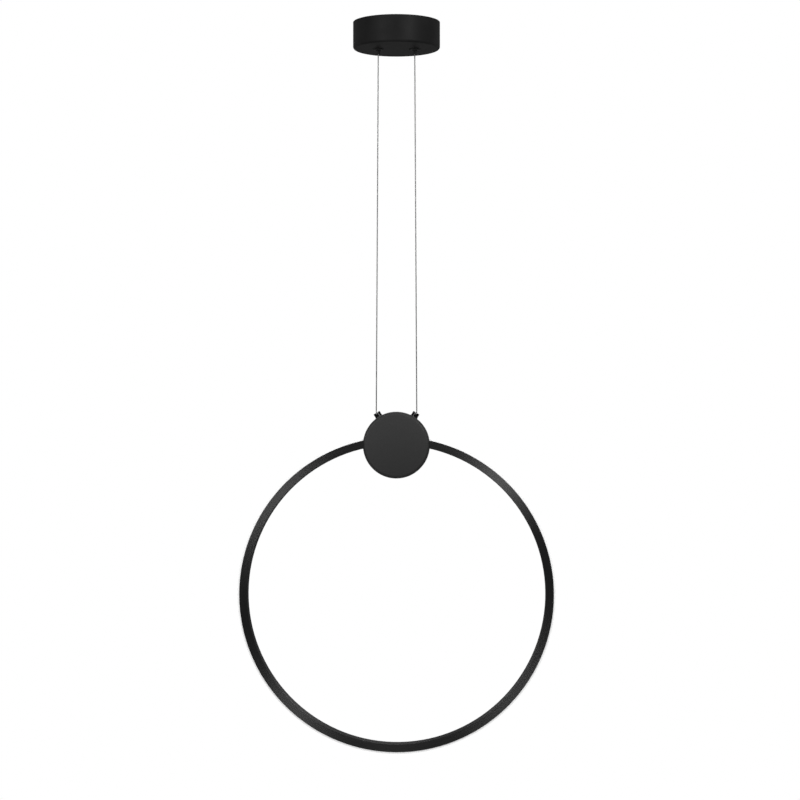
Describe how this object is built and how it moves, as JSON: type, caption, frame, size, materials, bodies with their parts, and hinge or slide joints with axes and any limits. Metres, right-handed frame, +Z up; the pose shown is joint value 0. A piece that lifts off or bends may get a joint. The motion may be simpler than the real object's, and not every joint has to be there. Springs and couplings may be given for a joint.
{
  "type": "led pendant light",
  "caption": "Slim black light ring with a white outer diffuser, hung from a round hub on two current-carrying wires under a round ceiling canopy, with ball-lock grippers for the height.",
  "frame": {"origin": "centre of the ceiling plate's top face, which lies against the ceiling, midway between the ceiling screws", "axes": "+Z up into the ceiling, +X to the right along the line of the two wires, the lamp's front faces -Y"},
  "size_m": [0.4, 0.11, 0.9225],
  "materials": {
    "canopy_black": "satin black paint",
    "hub_black": "matte black powder coat",
    "ring_black": "satin black with fine lines round the ring",
    "fitting_black": "gloss black plating",
    "gripper_black": "satin black plating",
    "black_screw": "black oxide",
    "steel_screw": "bright zinc",
    "zinc_plate": "zinc-coated sheet",
    "wire_steel": "stranded steel in a clear jacket",
    "brass": "plain",
    "plain_aluminium": "mill",
    "black_rubber": "matte",
    "black_nylon": "matte",
    "driver_white": "matte",
    "terminal_white": "translucent nylon",
    "opal_diffuser": "opal, satin",
    "strip_white": "white solder mask",
    "led_phosphor": "phosphor"
  },
  "bodies": {
    "canopy": {"canopy_cup": "canopy_black", "ceiling_plate": "zinc_plate", "canopy_side_screws": "black_screw", "cable_grommet": "black_rubber", "earth_washer": "zinc_plate", "earth_screw": "brass", "driver_case": "driver_white", "driver_lid": "driver_white", "driver_screws": "steel_screw", "mains_terminal_block": "terminal_white", "mains_terminal_inserts": "brass", "mains_terminal_screws": "steel_screw", "gripper_body_left": "gripper_black", "gripper_body_right": "gripper_black", "gripper_cap_left": "steel_screw", "gripper_cap_right": "steel_screw", "gripper_nut_left": "steel_screw", "gripper_nut_right": "steel_screw", "gripper_spring_left": "steel_screw", "gripper_spring_right": "steel_screw", "wire_tail_left": "wire_steel", "wire_tail_right": "wire_steel", "tail_ferrule_left": "brass", "tail_ferrule_right": "brass"},
    "plunger_left": {"gripper_plunger_left": "gripper_black", "gripper_balls_left": "steel_screw"},
    "plunger_right": {"gripper_plunger_right": "gripper_black", "gripper_balls_right": "steel_screw"},
    "suspension": {"wire_left": "wire_steel", "wire_right": "wire_steel"},
    "wire_ends": {"wire_end_left": "wire_steel", "wire_end_right": "wire_steel"},
    "lamp": {"wire_anchor_left": "fitting_black", "wire_anchor_right": "fitting_black", "anchor_bush_left": "black_nylon", "anchor_bush_right": "black_nylon", "anchor_washer_left": "black_nylon", "anchor_washer_right": "black_nylon", "anchor_tag_left": "brass", "anchor_tag_right": "brass", "anchor_nut_left": "brass", "anchor_nut_right": "brass", "hub_shell": "hub_black", "hub_lid": "hub_black", "hub_lid_screws": "black_screw", "ring_splice": "plain_aluminium", "splice_screws": "steel_screw", "ring_screws": "steel_screw", "hub_terminal_block": "terminal_white", "hub_terminal_screws": "steel_screw", "ring_profile": "ring_black", "ring_diffuser": "opal_diffuser", "led_strip": "strip_white", "led_chips": "led_phosphor"}
  },
  "joints": [
    {"name": "swing", "type": "hinge", "parent": "canopy", "child": "suspension", "pos_m": [0, 0, -0.0405], "axis": [1, 0, 0], "range_deg": [-45, 45]},
    {"name": "height", "type": "slide", "parent": "suspension", "child": "wire_ends", "axis": [0, 0, 1], "range_m": [0, 0.3], "deforming": ["wire_left", "wire_right"]},
    {"name": "tilt", "type": "hinge", "parent": "wire_ends", "child": "lamp", "pos_m": [0, 0, -0.49637], "axis": [1, 0, 0], "range_deg": [-30, 30]},
    {"name": "press_left", "type": "slide", "parent": "canopy", "child": "plunger_left", "axis": [0, 0, 1], "range_m": [0, 0.002], "stiffness_N_per_m": 800, "springref_m": -0.002, "deforming": ["gripper_spring_left"]},
    {"name": "press_right", "type": "slide", "parent": "canopy", "child": "plunger_right", "axis": [0, 0, 1], "range_m": [0, 0.002], "stiffness_N_per_m": 800, "springref_m": -0.002, "deforming": ["gripper_spring_right"]}
  ]
}
